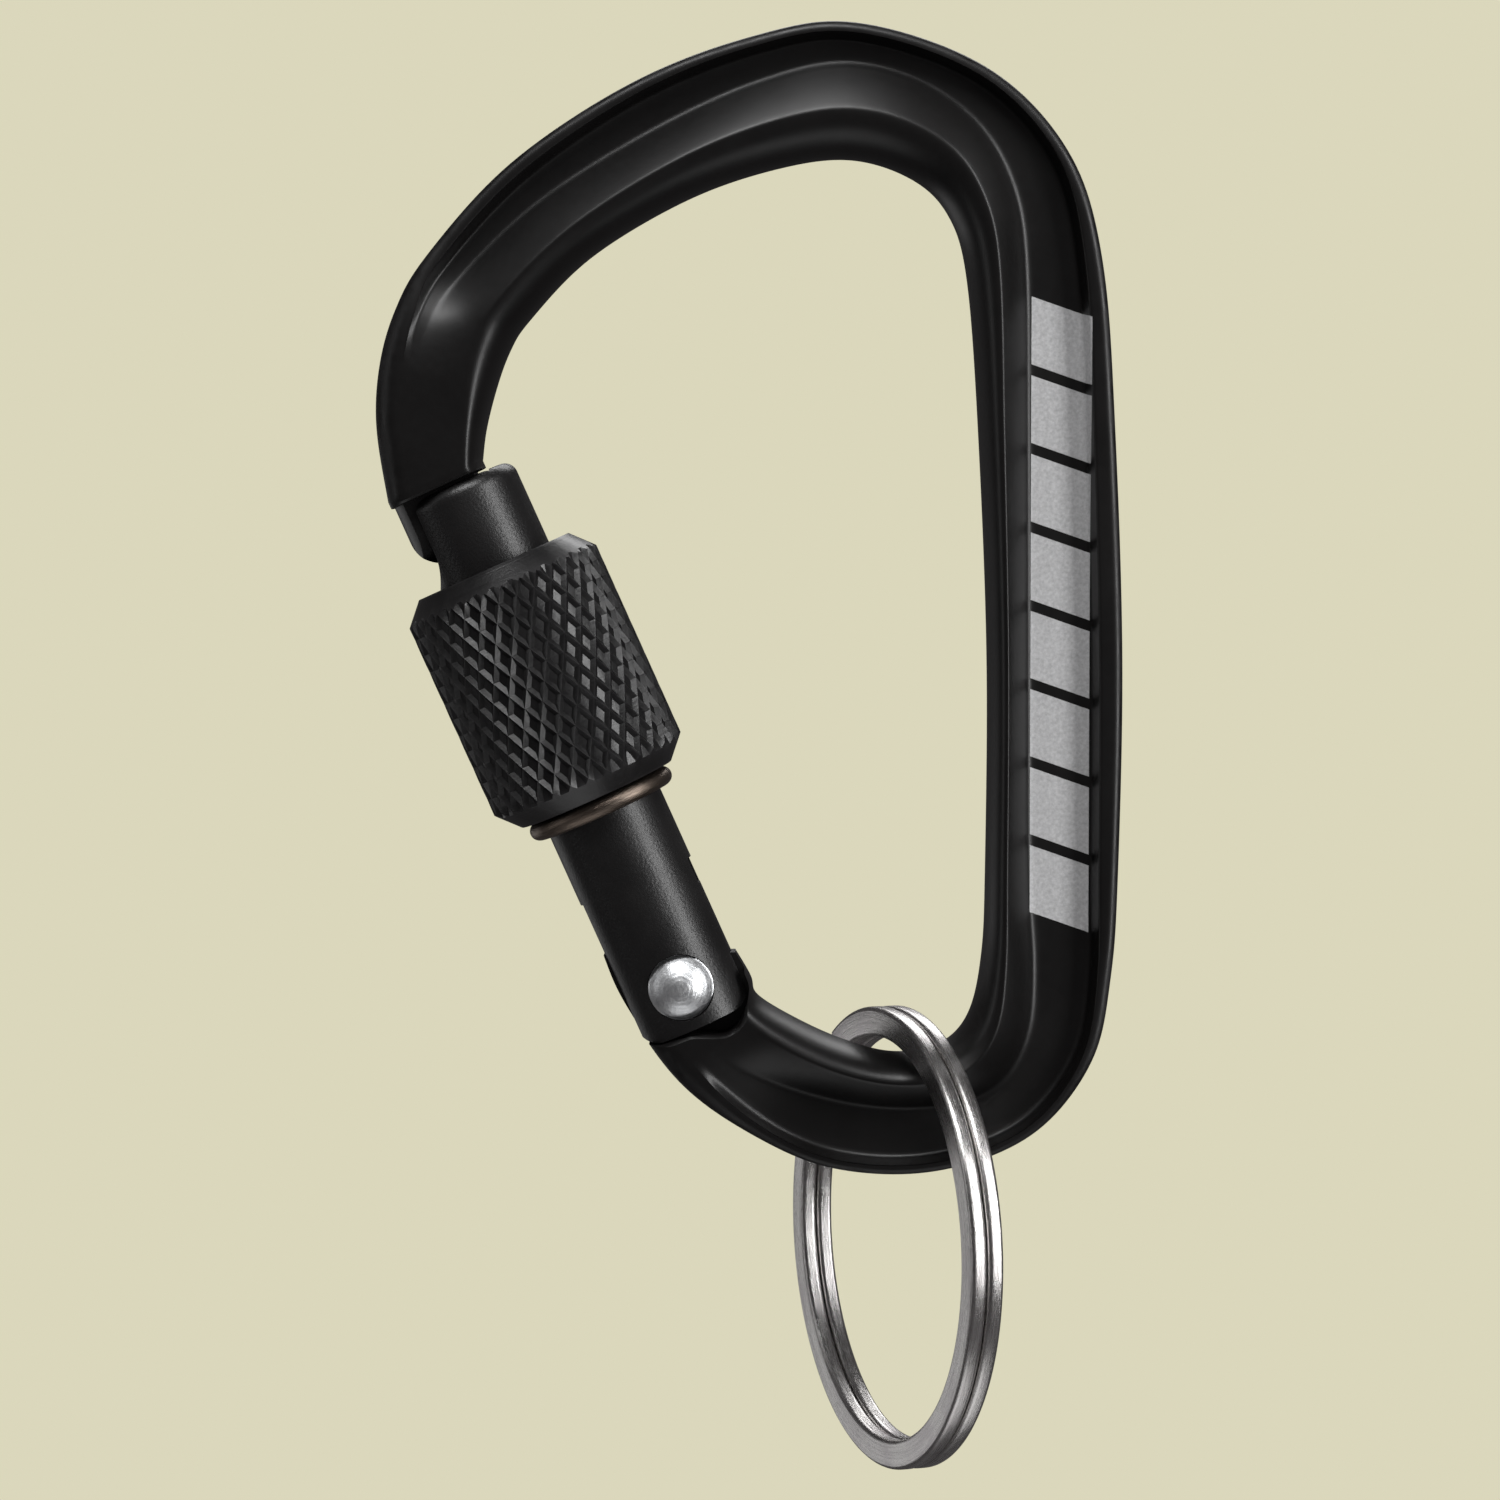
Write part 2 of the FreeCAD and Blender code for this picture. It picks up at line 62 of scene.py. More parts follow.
# ------------------------------------------------------------------------------ frame
# One forged bar of aluminium, anodised black. A round rib runs round the inside, with a
# sunk web and a thin outer flange. The nose ends in a tongue for the gate's upper slot,
# and the lower end is thinned into a second tongue, which carries the hinge rivet.
MM = 0.001
joints = {joint["name"]: joint for joint in frame["joints"]}
hinge_place = Vector(joints["gate_hinge"]["pos_m"])
gate_axis = Vector(joints["sleeve_turn"]["axis"]).normalized()
gate_turn = Matrix(((gate_axis.z, 0, gate_axis.x), (0, 1, 0), (-gate_axis.x, 0, gate_axis.z)))
# From millimetres about the gate's own axis, with the rivet at 0, to the object's space.
gate_space = Matrix.Translation(hinge_place) @ gate_turn.to_4x4() @ Matrix.Scale(MM, 4)
from_gate_space = gate_space.inverted()


def along_gate(node):
    """Lowest and highest level of a CAD node, in millimetres up the gate from the rivet."""
    levels = [(from_gate_space @ v.co).z for v in frame["nodes"][node].data.vertices]
    return min(levels), max(levels)


def gate_point(along, across):
    spot = gate_space @ Vector((across, 0, along)) / MM
    return spot.x, spot.z


gate_low, gate_top = along_gate("gate")
gate_radius = 3.25
tail_half = gate_radius + 0.01     # just outside the bar's own surface
tail_round = 1.2
nose_level = gate_top + 0.15
lobe_radius = 3.55
lobe_half = 2.0
lobe_length = 3.9
hinge_slot_half = 1.025
hinge_half = hinge_slot_half - 0.08
ear_gap = 0.1
gate_opening = 26           # degrees
rivet_radius = 1.0
rib_half = 3.2
web_half = 1.3
far = 9.0                   # past the thickness of every piece, for cutting tools
flange_half = 2.5
floor_z = -47.95
spine_x = 7.35
nose_x, nose_z = -21.2, -17.15
rivet_x = hinge_place.x / MM

# The bar's sections from the nose round to the hinge: inner point, outer point, then the
# rib's crest, the rib's foot, the flange's width and how much of the pocket is sunk.
bar_rows = [
    (gate_point(nose_level + 0.4, 1.8), gate_point(nose_level + 0.4, -lobe_radius - 0.06),
     0.9, 2.6, 1.7, 0.0),
    ((nose_x + 1.7, nose_z + 2.85), (nose_x - 4.08, nose_z + 2.85), 1.0, 3.4, 1.7, 0.0),
    ((nose_x + 2.3, nose_z + 5.15), (nose_x - 3.9, nose_z + 6.15), 1.4, 4.3, 1.7, 0.0),
    ((nose_x + 3.0, nose_z + 7.0), (nose_x - 3.05, nose_z + 9.1), 1.7, 4.4, 1.3, 0.25),
    ((-17.2, -8.6), (-22.6, -5.2), 1.9, 4.3, 1.1, 0.8),
    ((-13.9, -5.2), (-18.1, -0.27), 1.8, 4.0, 1.1, 1.0),
    ((-8.7, -2.12), (-11.6, 4.0), 2.0, 4.1, 1.0, 1.0),
    ((-3.9, -0.48), (-5.3, 6.4), 2.35, 4.7, 0.9, 1.0),
    ((0.0, 0.0), (0.2, 7.17), 2.55, 5.1, 0.9, 1.0),
    ((3.3, -1.05), (7.1, 4.85), 2.45, 4.6, 0.9, 1.0),
    ((spine_x - 2.1, -3.0), (spine_x + 4.15, 0.4), 2.0, 3.8, 1.0, 1.0),
    ((spine_x - 1.12, -6.4), (spine_x + 6.0, -5.4), 1.65, 3.15, 1.3, 1.0),
    ((spine_x - 0.5, -14.5), (spine_x + 6.7, -14.3), 1.25, 2.6, 1.5, 1.0),
    ((spine_x, floor_z + 21.4), (spine_x + 7.15, floor_z + 21.2), 1.02, 2.15, 1.6, 1.0),
    ((spine_x - 0.06, floor_z + 9.9), (spine_x + 6.95, floor_z + 9.6), 1.05, 2.3, 1.4, 1.0),
    ((spine_x - 0.25, floor_z + 5.3), (spine_x + 6.6, floor_z + 4.3), 1.2, 2.8, 1.1, 1.0),
    ((spine_x - 0.95, floor_z + 2.1), (spine_x + 5.6, floor_z - 0.3), 1.5, 3.35, 0.95, 1.0),
    ((spine_x - 2.5, floor_z + 0.45), (spine_x + 2.4, floor_z - 4.25), 1.7, 3.6, 0.85, 1.0),
    ((2.3, floor_z), (4.6, floor_z - 6.2), 1.5, 3.05, 0.85, 1.0),
    ((-0.4, floor_z + 0.7), (-0.9, floor_z - 6.05), 1.5, 3.2, 0.85, 1.0),
    ((-2.9, floor_z + 1.83), (-5.3, floor_z - 4.2), 1.4, 3.5, 1.0, 0.75),
    ((rivet_x + 4.1, floor_z + 3.1), (rivet_x - 0.1, floor_z - 1.4), 1.1, 3.6, 1.7, 0.0),
    (gate_point(-1.3, gate_radius + 0.30), gate_point(0.3, -3.22), 0.8, 3.4, 1.7, 0.0),
    (gate_point(0.34, gate_radius + 0.12), gate_point(3.08, -3.2), 0.8, 3.4, 1.7, 0.0),
]


def smooth_rows(rows, steps):
    """Many rows on a smooth curve through the given ones, then eased once more."""
    flat = [tuple(row[0]) + tuple(row[1]) + tuple(row[2:]) for row in rows]
    fine = []
    for i in range(len(flat) - 1):
        four = (flat[max(i - 1, 0)], flat[i], flat[i + 1], flat[min(i + 2, len(flat) - 1)])
        for k in range(steps):
            t = k / steps
            fine.append([
                (2 * t ** 3 - 3 * t * t + 1) * b + (t ** 3 - 2 * t * t + t) * (c - a) / 2
                + (3 * t * t - 2 * t ** 3) * c + (t ** 3 - t * t) * (d - b) / 2
                for a, b, c, d in zip(*four)])
    fine.append(list(flat[-1]))
    for _ in range(6):
        middle = [[(a + 2 * b + c) / 4 for a, b, c in zip(*three)]
                  for three in zip(fine, fine[1:], fine[2:])]
        fine = [fine[0]] + middle + [fine[-1]]
    return fine


def rounded(points):
    """A path in which each corner that has a radius is a short curve of five points."""
    path = []
    for i, (u, y, radius) in enumerate(points):
        here = Vector((u, y))
        if not radius:
            path.append(here)
            continue
        before = Vector(points[i - 1][:2]) - here
        after = Vector(points[i + 1][:2]) - here
        start = here + before.normalized() * min(radius, before.length * 0.45)
        end = here + after.normalized() * min(radius, after.length * 0.45)
        for t in (0, 0.25, 0.5, 0.75, 1):
            path.append(start * (1 - t) ** 2 + here * 2 * t * (1 - t) + end * t * t)
    return path


def bar_ring(row):
    """One section of the bar as a closed ring of points, and the wear at each of them."""
    in_x, in_z, out_x, out_z, crest, foot, flange, sunk = row
    sunk = max(0.0, min(1.0, sunk))
    width = math.hypot(out_x - in_x, out_z - in_z)
    web = rib_half - sunk * (rib_half - web_half)
    rim = rib_half - sunk * (rib_half - flange_half)
    edge = 0.45 + (1 - sunk) * 0.75
    lip = width - flange
    half = [(crest * (1 - math.cos(a)), rib_half * math.sin(a), 0)
            for a in (math.radians(7.5 * k) for k in range(12))]
    half.append((crest, rib_half, 0.35))
    crest_at = len(half) - 1
    for k in range(1, 7):
        t = k / 7.6
        middle = rib_half * 0.55 + web * 0.45
        half.append((crest + (foot - crest) * t,
                     rib_half * (1 - t) * (1 - 2 * t) + middle * 4 * t * (1 - t)
                     + web * t * (2 * t - 1), 0))
    half.append((foot, web, 0.8))
    half += [(foot + (lip - foot) * t, web, 0) for t in (0.3, 0.5, 0.7)]
    half += [(lip, web, 0.3), (lip + 0.35, rim, 0.16), (width - edge - 0.1, rim, 0)]
    path = rounded(half)
    wear = [0.0] * len(path)
    wear[crest_at + 2] = 0.4
    wear[-4] = 0.3
    for k in range(7):
        a = math.radians(90 - 15 * k)
        path.append(Vector((width - edge + edge * math.cos(a), rim - edge + edge * math.sin(a))))
        wear.append(1.0 if 1 < k < 5 else 0.3)
    path += [Vector((width, (rim - edge) * t)) for t in (0.6, 0.25, 0)]
    wear += [0.0] * 3
    across = Vector((out_x - in_x, 0, out_z - in_z)) / width
    start = Vector((in_x, 0, in_z))
    front = [start + across * p.x + Vector((0, -p.y, 0)) for p in path]
    back = [start + across * p.x + Vector((0, p.y, 0)) for p in path[-2:0:-1]]
    return front + back, wear + wear[-2:0:-1]


def piece_from(name, mesh):
    piece = bpy.data.objects.new(name, mesh)
    bpy.context.scene.collection.objects.link(piece)
    return piece


def skin(name, rings, wear=None):
    """A closed piece through rings that have the same number of points."""
    count = len(rings[0])
    faces = [tuple(range(count)), tuple(range((len(rings) - 1) * count, len(rings) * count))]
    for i in range(len(rings) - 1):
        a, b = i * count, (i + 1) * count
        faces += [(a + k, a + (k + 1) % count, b + (k + 1) % count, b + k) for k in range(count)]
    mesh = bpy.data.meshes.new(name)
    mesh.from_pydata([point for ring in rings for point in ring], [], faces)
    if wear:
        values = mesh.attributes.new("wear", "FLOAT", "POINT")
        values.data.foreach_set("value", [w for ring in wear for w in ring])
    shape = bmesh.new()
    shape.from_mesh(mesh)
    bmesh.ops.recalc_face_normals(shape, faces=shape.faces)
    shape.to_mesh(mesh)
    shape.free()
    return piece_from(name, mesh)


def arc(x, z, radius, start, end, steps=8):
    """Points of an arc in a plane, with its angles in degrees."""
    turns = [math.radians(start + (end - start) * k / steps) for k in range(steps + 1)]
    return [(x + radius * math.cos(a), z + radius * math.sin(a)) for a in turns]


def prism(outline, low, high, axis):
    """A solid with one outline all through, which runs along X, Y or Z from low to high."""
    place = {"X": lambda a, b, c: (c, a, b), "Y": lambda a, b, c: (a, c, b),
             "Z": lambda a, b, c: (a, b, c)}[axis]
    return skin("tool", [[Vector(place(a, b, level)) for a, b in outline]
                         for level in (low, high)])


def box(x0, x1, y0, y1, z0, z1):
    return prism([(x0, y0), (x1, y0), (x1, y1), (x0, y1)], z0, z1, "Z")


def rod(radius, low, high, axis, middle=(0, 0), steps=96):
    return prism(arc(*middle, radius, 0, 360 - 360 / steps, steps - 1), low, high, axis)


def plain_mesh(piece):
    """The piece's mesh with its modifiers worked in, which are then taken off."""
    depsgraph = bpy.context.evaluated_depsgraph_get()
    mesh = bpy.data.meshes.new_from_object(piece.evaluated_get(depsgraph))
    piece.modifiers.clear()
    piece.data = mesh
    return piece


def carve(piece, tool, operation="DIFFERENCE"):
    """Cuts the tool away from a piece, or joins or crosses the two, and uses the tool up."""
    change = piece.modifiers.new("carve", "BOOLEAN")
    change.object = tool
    change.operation = operation
    change.solver = "EXACT"
    plain_mesh(piece)
    bpy.data.objects.remove(tool)
    return piece


def finished(piece, place, body, node, finish, sharp=30):
    """Puts a finished mesh in its place, gives it its shading, finish and body, and hides the CAD
    node that it stands in for.
    """
    piece.data.transform(place)
    piece.data.polygons.foreach_set("use_smooth", [True] * len(piece.data.polygons))
    piece.data.set_sharp_from_angle(angle=math.radians(sharp))
    piece.data.materials.clear()
    piece.data.materials.append(finish)
    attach(piece, body)
    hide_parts(node)
    return piece


class Field:
    """A shader socket that is reckoned with like a number."""

    def __init__(self, finish, socket):
        self.finish = finish
        self.socket = socket

    def maths(self, operation, *values):
        made = self.finish.node("Math", {"operation": operation}, dict(enumerate(values)))
        return Field(self.finish, made.outputs[0])

    def __add__(self, other):
        return self.maths("ADD", self, other)

    def __radd__(self, other):
        return self.maths("ADD", other, self)

    def __sub__(self, other):
        return self.maths("SUBTRACT", self, other)

    def __rsub__(self, other):
        return self.maths("SUBTRACT", other, self)

    def __mul__(self, other):
        return self.maths("MULTIPLY", self, other)

    def __rmul__(self, other):
        return self.maths("MULTIPLY", other, self)

    def __gt__(self, other):
        return self.maths("GREATER_THAN", self, other)

    def __lt__(self, other):
        return self.maths("LESS_THAN", self, other)

    def power(self, other):
        return self.maths("POWER", self, other)


class Finish:
    """A material with one Principled shader, and short ways to build its nodes."""

    def __init__(self, name, **constants):
        self.material = bpy.data.materials.new(name)
        self.material.use_nodes = True
        self.tree = self.material.node_tree
        self.tree.nodes.clear()
        self.shader = self.node("BsdfPrincipled", {}, constants)
        self.node("OutputMaterial", {}, {"Surface": self.shader.outputs[0]})

    def node(self, kind, settings, values):
        made = self.tree.nodes.new("ShaderNode" + kind)
        for name, value in settings.items():
            setattr(made, name, value)
        for name, value in values.items():
            self.plug(made.inputs[name], value)
        return made

    def plug(self, socket, value):
        if isinstance(value, Field):
            value = value.socket
        if isinstance(value, bpy.types.NodeSocket):
            self.tree.links.new(value, socket)
        else:
            socket.default_value = value

    def field(self, kind, settings, values, output=0):
        return Field(self, self.node(kind, settings, values).outputs[output])

    def place(self, matrix=None):
        """Where a point is on the object, or in the space that the matrix leads to."""
        spot = self.node("TexCoord", {}, {}).outputs["Object"]
        if matrix is None:
            return spot
        move, turn, size = matrix.decompose()
        return self.node("Mapping", {}, {"Vector": spot, "Location": move,
                                         "Rotation": turn.to_euler(),
                                         "Scale": size}).outputs[0]

    def grain(self, vector, scale, detail=2.0, roughness=0.5, contrast=1.0):
        """Noise from about 0 to 1, sharpened about its middle by the contrast."""
        noise = self.field("TexNoise", {}, {"Vector": vector, "Scale": scale, "Detail": detail,
                                            "Roughness": roughness})
        return (noise - 0.5) * contrast + 0.5

    def attribute(self, name, output="Fac"):
        return Field(self, self.node("Attribute", {"attribute_name": name}, {}).outputs[output])

    def blend(self, amount, first, second):
        """From one colour to another."""
        mix = self.node("Mix", {"data_type": "RGBA", "clamp_factor": True},
                        {0: amount, 6: first, 7: second})
        return mix.outputs[2]

    def bump(self, height, distance, under=None):
        values = {"Height": height, "Distance": distance, "Strength": 1.0}
        if under is not None:
            values["Normal"] = under
        return self.node("Bump", {}, values).outputs[0]

    def set(self, **values):
        for name, value in values.items():
            self.plug(self.shader.inputs[name.replace("_", " ")], value)
        return self.material


def anodised_frame():
    """Dyed anodising, polished before it was dyed, with a plain printed row of blocks."""
    look = Finish("black_frame", **{"IOR": 1.50, "Metallic": 0.0})
    spot = look.place()
    cloud = look.grain(spot, 160.0, 3.0, contrast=1.6)
    fine = look.grain(spot, 2600.0, 2.0)
    scuff = look.grain(spot, 700.0, 4.0, 0.65, 4.0)
    worn = look.attribute("wear").power(2.0) * scuff.maths("MAXIMUM", scuff, 0.0)
    body = look.blend(cloud, (0.0024, 0.0021, 0.0021, 1), (0.0046, 0.0040, 0.0039, 1))
    body = look.blend(worn * 0.10, body, (0.060, 0.058, 0.060, 1))
    # The print: eight slanted blocks down the spine's web, on the front only.
    parts = look.node("SeparateXYZ", {}, {"Vector": spot})
    x, y, z = (Field(look, parts.outputs[k]) for k in range(3))
    low, high, blocks = -0.0408, -0.0073, 8
    left, right, slant = 0.00962, 0.01278, 0.35
    along = (z + x * slant - (low + 0.0113 * slant)) * (blocks / (high - low))
    within = (along > 0.0) * (along < float(blocks))
    inside_block = (along.maths("FRACT", along) > 0.0) * (along.maths("FRACT", along) < 0.86)
    across = (x > left) * (x < right) * (y < -0.00120)
    ink = within * inside_block * across
    speckle = look.grain(spot, 5200.0, 3.0, 0.7, 2.2)
    ink_colour = look.blend(speckle, (0.40, 0.40, 0.405, 1), (0.62, 0.62, 0.625, 1))
    colour = look.blend(ink, body, ink_colour)
    rough = 0.31 + 0.07 * cloud + 0.07 * fine + 0.2 * worn
    rough = rough * (1 - ink) + 0.55 * ink
    relief = look.bump(fine, 0.0000022)
    relief = look.bump(cloud, 0.00002, relief)
    relief = look.bump(ink + 0.12 * speckle * ink, 0.00002, relief)
    return look.set(Base_Color=colour, Roughness=rough, Normal=relief)


rings = [bar_ring(row) for row in smooth_rows(bar_rows, 12)]
nose_ring, nose_wear = rings[0]
for lower, squeeze in ((0.25, 0.985), (0.37, 0.95), (0.4, 0.88)):
    rings.insert(0, ([Vector((p.x, p.y * squeeze, p.z)) - gate_axis * lower
                      for p in nose_ring], nose_wear))
bar = skin("frame_bar", [ring for ring, wear in rings], [wear for ring, wear in rings])
bar.data.transform(from_gate_space @ Matrix.Scale(MM, 4))
lobe_low = nose_level - lobe_length
lobe_back = 1.2
tip_round = 2.0
lobe_side = [(-lobe_radius, nose_level + 1.0)]
lobe_side += arc(tip_round - lobe_radius, lobe_low + tip_round, tip_round, 180, 270, 16)
lobe_side += arc(lobe_back - tip_round, lobe_low + tip_round, tip_round, 270, 360, 16)
lobe_side.append((lobe_back, nose_level + 1.0))
lobe = prism(lobe_side, -lobe_half, lobe_half, "Y")
round_end = arc(0, lobe_low + lobe_half, lobe_half, 180, 360, 24)
round_end += [(lobe_half, nose_level + 2), (-lobe_half, nose_level + 2)]
carve(lobe, prism(round_end, -far, far, "X"), "INTERSECT")
carve(lobe, rod(lobe_radius, lobe_low - 1, nose_level + 3, "Z"), "INTERSECT")
carve(bar, lobe, "UNION")


def tail_outline(grown):
    """The lower end of the gate from the side, grown by a gap, open at the top."""
    corner, level = tail_half - tail_round, gate_low + tail_round
    return (arc(-corner, level, tail_round + grown, 180, 270)
            + arc(corner, level, tail_round + grown, 270, 360))


ear_outline = tail_outline(ear_gap) + [(tail_half + ear_gap, 20), (-tail_half - ear_gap, 20)]


def ear_reach(angle):
    """How far the gate's tail reaches from the rivet in one direction, with its gap."""
    ray = Vector((math.cos(angle), math.sin(angle)))
    reach = far
    for (ax, az), (bx, bz) in zip(ear_outline, ear_outline[1:] + ear_outline[:1]):
        outwards = Vector((bz - az, ax - bx))
        if outwards.dot(ray) > 1e-6:
            reach = min(reach, outwards.dot(Vector((ax, az))) / outwards.dot(ray))
    return reach


# Room for the ears all the way open, with a bevel where it leaves the frame's face.
swept = [max(ear_reach(math.radians(2 * k + turn)) for turn in range(0, gate_opening + 1, 2))
         for k in range(180)]
for side in (1, -1):
    levels = ((hinge_half, 0), (2.75, 0), (2.95, 0.06), (3.1, 0.16), (3.4, 0.5))
    room = skin("tool", [[Vector(((r + grown) * math.cos(math.radians(2 * k)), side * level,
                                  (r + grown) * math.sin(math.radians(2 * k))))
                          for k, r in enumerate(swept)] for level, grown in levels])
    carve(bar, room)
carve(bar, rod(rivet_radius + 0.06, -far, far, "Y"))
finished(bar, gate_space, "frame", "frame", anodised_frame())

# ------------------------------------------------------------------------------- gate
# A round bar, turned and slotted at both ends, bead blasted and anodised black. The
# screw ridge under the sleeve and the groove for the stop ring are cut on the lathe.
thread_lead = 1.5
sleeve_low, sleeve_top = along_gate("locking_sleeve")
stop_level = sum(along_gate("stop_ring")) / 2
stop_radius = 3.65
stop_wire = 0.5
thread_low = sleeve_low + 1.0
thread_turns = 6
thread_height = 0.25
hinge_slot_end = 6.02
spring_bore = 1.45
spring_bore_top = hinge_slot_end + 8.2
nose_slot_half = 2.1
nose_slot_length = 5.15
nose_slot_back = 2.0
rivet_seat = 2.8
head_radius = 1.75


def ridge_height(angle, level, low, turns, crest, crest_half, slope):
    """How far a screw ridge stands out at one place on the bar."""
    turn = angle / (2 * math.pi)
    nearest = round((level - low) / thread_lead - turn) + turn
    if not 0 <= nearest <= turns:
        return 0.0
    off = abs(level - low - nearest * thread_lead)
    return max(0.0, crest - max(0.0, off - crest_half) * slope)


def gate_ring(level, radius, points=128):
    ring = []
    for k in range(points):
        angle = 2 * math.pi * k / points
        out = radius + ridge_height(angle, level, thread_low, thread_turns, thread_height,
                                    0.15, 0.85)
        ring.append(Vector((out * math.cos(angle), out * math.sin(angle), level)))
    return ring


def gate_profile():
    """Levels and radii up the gate, with its groove and its rounded top."""
    groove = stop_wire + 0.07
    bare = stop_level - stop_wire - gate_low
    rows = [(gate_low + bare * k / 30, gate_radius) for k in range(30)]
    rows += [(stop_level + groove * math.sin(a), stop_radius - groove * math.cos(a))
             for a in (math.radians(d) for d in range(-45, 46, 9))]
    rows.append((stop_level + stop_wire, gate_radius))
    thread_top = thread_low + thread_turns * thread_lead + 0.7
    start = stop_level + 0.7
    rows += [(start + (thread_top - start) * k / 150, gate_radius) for k in range(151)]
    rows += [(thread_top + (gate_top - 0.8 - thread_top) * k / 16, gate_radius)
             for k in range(1, 17)]
    rows += [(z, r) for r, z in arc(gate_radius - 0.7, gate_top - 0.7, 0.7, 0, 90, 8)]
    return rows


def blasted_black():
    """Fine even grain from the glass beads, under a satin black dye."""
    look = Finish("black_gate", **{"IOR": 1.6, "Metallic": 0.0})
    spot = look.place()
    fine = look.grain(spot, 6500.0, 2.0, 0.6, 1.3)
    cloud = look.grain(spot, 420.0, 3.0, 0.6, 1.8)
    colour = look.blend(cloud, (0.0038, 0.0035, 0.0036, 1), (0.0075, 0.0069, 0.0069, 1))
    rough = 0.33 + 0.07 * cloud + 0.05 * fine
    relief = look.bump(fine, 0.000014)
    relief = look.bump(cloud, 0.000008, relief)
    return look.set(Base_Color=colour, Roughness=rough, Normal=relief)


gate = skin("gate_bar", [gate_ring(level, radius) for level, radius in gate_profile()])
tail_side = tail_outline(0) + [(tail_half, 20), (5, 22), (5, 40), (-5, 40), (-5, 22),
                               (-tail_half, 20)]
carve(gate, prism(tail_side, -far, far, "Y"), "INTERSECT")
carve(gate, box(-far, far, -hinge_slot_half, hinge_slot_half, -far, hinge_slot_end))
slot_middle = gate_top - nose_slot_length + nose_slot_half
nose_slot = arc(0, slot_middle, nose_slot_half, 180, 360, 32)
nose_slot += [(nose_slot_half, 40), (-nose_slot_half, 40)]
carve(gate, prism(nose_slot, -far, nose_slot_back, "X"))
carve(gate, rod(spring_bore, hinge_slot_end - 0.52, spring_bore_top, "Z", steps=48))
for side in (1, -1):
    near, past = sorted((side * rivet_seat, side * far))
    carve(gate, rod(head_radius + 0.05, near, past, "Y"))
finished(gate, gate_space, "gate", "gate", blasted_black())

# -------------------------------------------------------------------------- hinge rivet
# A solid aluminium rivet through the gate's ears and the frame's tongue. Its heads were
# spun over with a cup-shaped tool, which left faint rings and small flats on the domes.
head_height = 0.95


def rivet_profile():
    """Radii and levels from the middle of one dome, down the shank to the other."""
    dome = (head_radius ** 2 + head_height ** 2) / (2 * head_height)
    half_angle = math.degrees(math.asin(head_radius / dome))
    top = rivet_seat + head_height
    half = arc(0, top - dome, dome, 89.6, 90 - half_angle + 3, 22)
    half += [(head_radius, rivet_seat + 0.06), (head_radius - 0.03, rivet_seat),
             (rivet_radius, rivet_seat)]
    return half + [(r, -y) for r, y in half[::-1]]


def spun_aluminium():
    """Bright bare metal with the setting tool's rings and a few small dents."""
    look = Finish("bright_rivet", **{"Metallic": 1.0})
    spot = look.place(from_gate_space)
    parts = look.node("SeparateXYZ", {}, {"Vector": spot})
    x, z = (Field(look, parts.outputs[k]) for k in (0, 2))
    reach = (x * x + z * z).power(0.5)
    wobble = look.grain(spot, 1.1, 3.0)
    wave = reach * 26.0 + wobble * 5.0
    rings_cut = wave.maths("SINE", wave)
    dents = look.grain(spot, 3.2, 4.0, 0.62, 2.0)
    streak = look.grain(spot, 9.0, 3.0, 0.6, 1.6)
    colour = look.blend(dents, (0.72, 0.74, 0.76, 1), (0.93, 0.94, 0.95, 1))
    rough = 0.36 + 0.08 * streak + 0.06 * dents
    relief = look.bump(rings_cut, 0.0000022)
    relief = look.bump(dents, 0.000012, relief)
    relief = look.bump(streak, 0.000003, relief)
    return look.set(Base_Color=colour, Roughness=rough, Normal=relief)


rivet = skin("hinge_rivet", [[Vector((r * math.cos(a), y, r * math.sin(a)))
                              for a in (math.radians(3.75 * k) for k in range(96))]
                             for r, y in rivet_profile()])
finished(rivet, gate_space, "gate", "gate_rivet", spun_aluminium(), sharp=50)

# ------------------------------------------------------------------- plunger and spring
# A stamped steel blade in the hinge slot, pushed down by a small coil spring, closes the
# gate. Both keep their working shape; the blade is blued and the spring is bare wire.


def blued_steel():
    look = Finish("dark_plunger", **{"Metallic": 0.85})
    spot = look.place()
    fine = look.grain(spot, 3800.0, 3.0, 0.6, 1.5)
    cloud = look.grain(spot, 700.0, 2.0)
    colour = look.blend(cloud, (0.030, 0.030, 0.033, 1), (0.060, 0.058, 0.060, 1))
    return look.set(Base_Color=colour, Roughness=0.34 + 0.12 * fine,
                    Normal=look.bump(fine, 0.000006))


def drawn_spring_wire():
    look = Finish("spring_steel", **{"Metallic": 1.0})
    spot = look.place()
    fine = look.grain(spot, 4200.0, 3.0, 0.6, 1.5)
    colour = look.blend(fine, (0.36, 0.35, 0.34, 1), (0.52, 0.51, 0.49, 1))
    return look.set(Base_Color=colour, Roughness=0.25 + 0.12 * fine,
                    Normal=look.bump(fine, 0.000004))


for node, finish in (("gate_plunger", blued_steel()), ("gate_spring", drawn_spring_wire())):
    mesh = frame["nodes"][node].data
    mesh.materials.clear()
    mesh.materials.append(finish)

# ---------------------------------------------------------------------- locking sleeve
# An aluminium ring, bored and threaded, knurled all round with a diamond tool and then
# chamfered at both ends, anodised black. The knurl left thin lands between sunk diamonds.
sleeve_radius = 5.5
face_radius = 4.45
bore_radius = 3.65
chamfer_length = 1.2
knurl_starts = 33
knurl_steps = 8             # mesh steps to one pitch of the knurl
knurl_depth = 0.21
knurl_low = sleeve_low + chamfer_length
knurl_high = sleeve_top - chamfer_length
knurl_rows = 47             # keeps the knurl's lines at 29 degrees to the axis


def knurl_distance(k, j):
    """Mesh steps from one place to the nearest land, each way of the knurl."""
    return [min(p % knurl_steps, -p % knurl_steps) for p in (k + j, k - j)]


